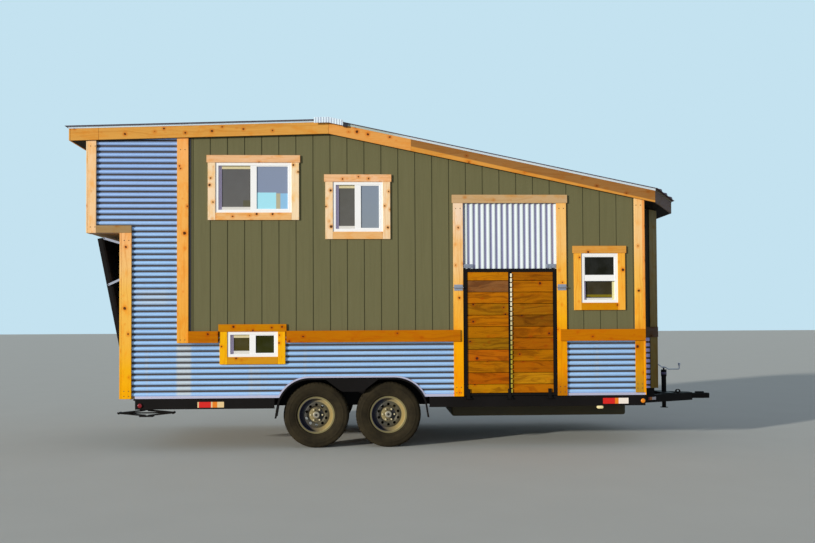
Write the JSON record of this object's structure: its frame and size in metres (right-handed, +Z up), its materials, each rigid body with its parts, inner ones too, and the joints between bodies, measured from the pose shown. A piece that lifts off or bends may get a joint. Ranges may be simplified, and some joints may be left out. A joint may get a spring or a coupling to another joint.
{
  "type": "tiny house on wheels",
  "caption": "Timber tiny house with loft, corrugated and grooved siding and two fold-down decks, on a tandem-axle trailer.",
  "frame": {"origin": "on the ground under the middle of the overall box, midway between the two sides", "axes": "+X towards the hitch, +Y towards the side without the deck, +Z up"},
  "size_m": [8.171, 2.67, 3.944],
  "materials": {
    "black_steel": "satin black chassis paint",
    "galvanised_steel": "galvanised",
    "framing_wood": "planed softwood",
    "corrugated_steel": "galvanised corrugated sheet",
    "olive_siding": "matt olive green paint",
    "white_flashing": "light metal flashing",
    "pine_trim": "oiled pine",
    "white_vinyl": "white vinyl",
    "window_glass": "clear glass",
    "fascia_wood": "oiled pine, darker",
    "roof_steel": "ribbed roofing sheet",
    "ridge_steel": "bright ridge cap",
    "deck_boards": "stained boards",
    "tyre_rubber": "dusty black rubber",
    "wheel_steel": "silver paint",
    "tank_plastic": "dark moulded plastic, dusty"
  },
  "bodies": {
    "house": {"awning_panel": "corrugated_steel", "axles": "black_steel", "band_boards": "pine_trim", "bay_base": "black_steel", "bay_front_wall": "framing_wood", "bay_side_walls": "framing_wood", "corner_posts": "pine_trim", "corrugated_siding": "corrugated_steel", "coupler": "black_steel", "crossmembers": "black_steel", "deck_latches": "galvanised_steel", "deck_stays": "galvanised_steel", "door_trim": "pine_trim", "drip_edge": "white_flashing", "far_wall": "framing_wood", "fascia": "fascia_wood", "fenders": "black_steel", "flashings": "white_flashing", "floor": "framing_wood", "frame_rails": "black_steel", "front_walls": "framing_wood", "grooved_siding": "olive_siding", "leaf_springs": "black_steel", "loft_floor": "framing_wood", "loft_rear_wall": "framing_wood", "loft_side_walls": "framing_wood", "near_wall_over_door": "framing_wood", "near_walls": "framing_wood", "rear_hinges": "black_steel", "rear_wall_lintel": "framing_wood", "rear_wall_sides": "framing_wood", "ridge_cap": "ridge_steel", "roof_deck_front": "framing_wood", "roof_deck_rear": "framing_wood", "roofing": "roof_steel", "side_hinges": "black_steel", "stabiliser_jacks": "black_steel", "tongue": "black_steel", "tongue_jack": "black_steel", "under_tank": "tank_plastic", "window_casings": "pine_trim", "window_frames": "white_vinyl", "window_glass": "window_glass"},
    "side_deck": {"side_deck_frame": "black_steel", "side_deck_boards": "deck_boards"},
    "rear_deck": {"rear_deck_frame": "black_steel", "rear_deck_boards": "deck_boards"},
    "jack_leg": {"jack_leg": "galvanised_steel"},
    "jack_crank": {"jack_crank": "galvanised_steel"},
    "wheel_rear_near": {"tyre_rear_near": "tyre_rubber", "rim_rear_near": "wheel_steel"},
    "wheel_rear_far": {"tyre_rear_far": "tyre_rubber", "rim_rear_far": "wheel_steel"},
    "wheel_front_near": {"tyre_front_near": "tyre_rubber", "rim_front_near": "wheel_steel"},
    "wheel_front_far": {"tyre_front_far": "tyre_rubber", "rim_front_far": "wheel_steel"}
  },
  "joints": [
    {"name": "side_deck_hinge", "type": "hinge", "parent": "house", "child": "side_deck", "pos_m": [1.176, -1.262, 0.579], "axis": [1, 0, 0], "range_deg": [0, 90]},
    {"name": "rear_deck_hinge", "type": "hinge", "parent": "house", "child": "rear_deck", "pos_m": [-3.3765, 0, 0.57], "axis": [0, -1, 0], "range_deg": [0, 78.6]},
    {"name": "jack_leg_slide", "type": "slide", "parent": "house", "child": "jack_leg", "axis": [0, 0, -1], "range_m": [0, 0.3]},
    {"name": "jack_crank_turn", "type": "hinge", "parent": "house", "child": "jack_crank", "pos_m": [3.4635, 0, 0.863], "axis": [0, 0, 1], "continuous": true},
    {"name": "wheel_rear_near_spin", "type": "hinge", "parent": "house", "child": "wheel_rear_near", "pos_m": [-1.1565, -1.0975, 0.391], "axis": [0, 1, 0], "continuous": true},
    {"name": "wheel_rear_far_spin", "type": "hinge", "parent": "house", "child": "wheel_rear_far", "pos_m": [-1.1565, 1.0975, 0.391], "axis": [0, 1, 0], "continuous": true},
    {"name": "wheel_front_near_spin", "type": "hinge", "parent": "house", "child": "wheel_front_near", "pos_m": [-0.2925, -1.0975, 0.391], "axis": [0, 1, 0], "continuous": true},
    {"name": "wheel_front_far_spin", "type": "hinge", "parent": "house", "child": "wheel_front_far", "pos_m": [-0.2925, 1.0975, 0.391], "axis": [0, 1, 0], "continuous": true}
  ]
}
